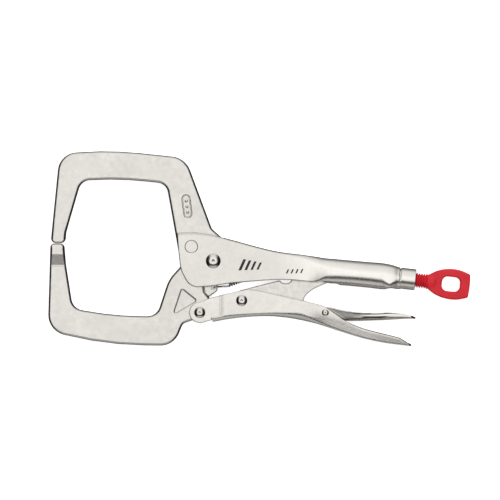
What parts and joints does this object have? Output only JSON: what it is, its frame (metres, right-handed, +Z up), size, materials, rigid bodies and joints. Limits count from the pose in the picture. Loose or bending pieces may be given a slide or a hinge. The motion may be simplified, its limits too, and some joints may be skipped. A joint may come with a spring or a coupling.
{
  "type": "locking c clamp",
  "caption": "Locking C clamp: two forged C arms on a pressed toggle handle, with a release lever and an adjusting screw that ends in a loop.",
  "frame": {"origin": "middle of the clamp's box, on the surface it lies on", "axes": "+X along the handles towards the adjusting screw, +Y from the moving jaw to the fixed jaw, +Z up out of the surface, along the rivets"},
  "size_m": [0.3208, 0.1484, 0.019],
  "materials": {
    "handle_nickel": "satin nickel plate on pressed steel",
    "jaw_nickel": "blasted nickel plate on forged steel",
    "rivet_steel": "polished nickel plate",
    "link_nickel": "dull nickel plate",
    "release_chrome": "polished nickel plate",
    "spring_steel": "bright drawn wire",
    "screw_red": "red coating, satin"
  },
  "bodies": {
    "frame": {"upper_handle": "handle_nickel", "fixed_jaw": "jaw_nickel", "fixed_jaw_rivet": "handle_nickel", "main_pivot_rivet": "rivet_steel", "return_spring": "spring_steel"},
    "jaw": {"moving_jaw": "jaw_nickel"},
    "lever": {"lower_handle": "handle_nickel", "jaw_lever_rivet": "rivet_steel", "link_rivet": "rivet_steel", "release_rivet": "rivet_steel"},
    "link": {"toggle_link": "link_nickel"},
    "release": {"release_lever": "release_chrome"},
    "screw": {"adjusting_screw": "screw_red"},
    "grip": {"screw_grip": "screw_red"}
  },
  "joints": [
    {"name": "jaw_open", "type": "hinge", "parent": "frame", "child": "jaw", "pos_m": [-0.03496, -0.00914, 0.0095], "axis": [0, 0, 1], "range_deg": [0, 18], "deforming": ["return_spring"]},
    {"name": "lever_swing", "type": "hinge", "parent": "jaw", "child": "lever", "pos_m": [-0.04522, -0.04828, 0.0095], "axis": [0, 0, 1], "range_deg": [-57, 0]},
    {"name": "link_swing", "type": "hinge", "parent": "lever", "child": "link", "pos_m": [-0.01338, -0.03916, 0.0095], "axis": [0, 0, 1], "range_deg": [0, 60]},
    {"name": "release_press", "type": "hinge", "parent": "lever", "child": "release", "pos_m": [0.05008, -0.04843, 0.0095], "axis": [0, 0, 1], "range_deg": [-11, 0]},
    {"name": "screw_travel", "type": "slide", "parent": "frame", "child": "screw", "axis": [0.9936, -0.1132, 0], "range_m": [0, 0.03]},
    {"name": "screw_turn", "type": "hinge", "parent": "screw", "child": "grip", "pos_m": [0.11864, -0.02373, 0.0095], "axis": [0.9936, -0.1132, 0], "range_deg": [0, 5959.7]}
  ],
  "couplings": [
    {"joint": "lever_swing", "follows": "jaw_open", "ratio": -3.15},
    {"joint": "link_swing", "follows": "jaw_open", "ratio": 3.3},
    {"joint": "screw_turn", "follows": "screw_travel", "rad_per_m": 3463.7}
  ]
}
